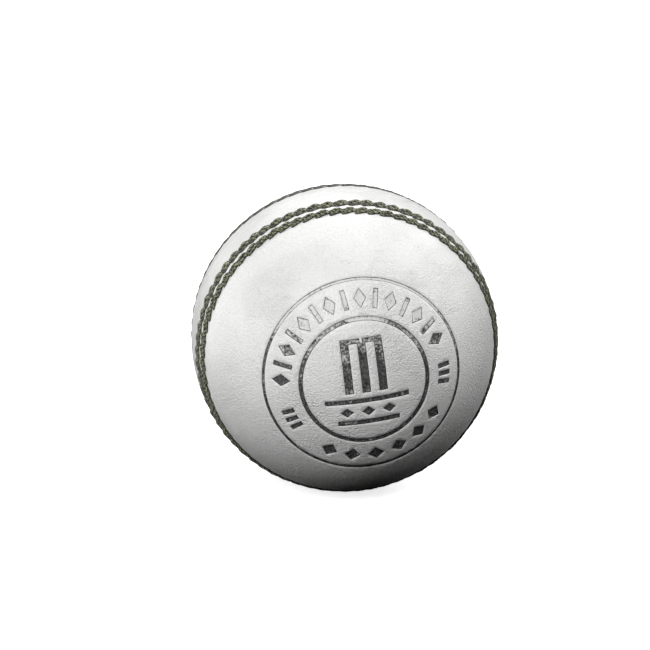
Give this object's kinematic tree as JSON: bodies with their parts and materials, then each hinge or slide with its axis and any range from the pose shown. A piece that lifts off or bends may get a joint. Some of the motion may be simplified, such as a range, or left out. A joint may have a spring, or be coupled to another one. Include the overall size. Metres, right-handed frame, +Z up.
{
  "type": "cricket ball",
  "caption": "Hard ball with a two-piece leather cover over a wound cork core, raised rows of stitching along the seam and a pressed round stamp on one side.",
  "frame": {"origin": "centre of the ball", "axes": "+Z up; the join between the two leather cups lies in the XZ plane; -Y is the middle of the stamped cup and +Y the middle of the plain cup"},
  "size_m": [0.072, 0.072, 0.072],
  "materials": {
    "cover_leather": "white, polished",
    "lining_leather": "undyed, split",
    "seam_thread": "olive green, waxed",
    "closing_thread": "undyed, waxed",
    "foil": "dark grey foil, worn",
    "cork": "cut cork",
    "yarn": "undyed worsted"
  },
  "bodies": {
    "root": {"back_cover": "cover_leather", "back_inner_stitches": "seam_thread", "back_outer_stitches": "seam_thread", "back_rim_lining": "lining_leather", "closing_stitches": "closing_thread", "cork_nucleus": "cork", "cork_slips_1": "cork", "cork_slips_2": "cork", "cork_slips_3": "cork", "cork_slips_4": "cork", "front_cover": "cover_leather", "front_inner_stitches": "seam_thread", "front_outer_stitches": "seam_thread", "front_rim_lining": "lining_leather", "stamp_border": "foil", "stamp_foot_lozenges": "foil", "stamp_inner_ring": "foil", "stamp_outer_ring": "foil", "stamp_wicket": "foil", "yarn_winding_1": "yarn", "yarn_winding_2": "yarn", "yarn_winding_3": "yarn", "yarn_winding_4": "yarn", "yarn_winding_5": "yarn"}
  },
  "joints": []
}
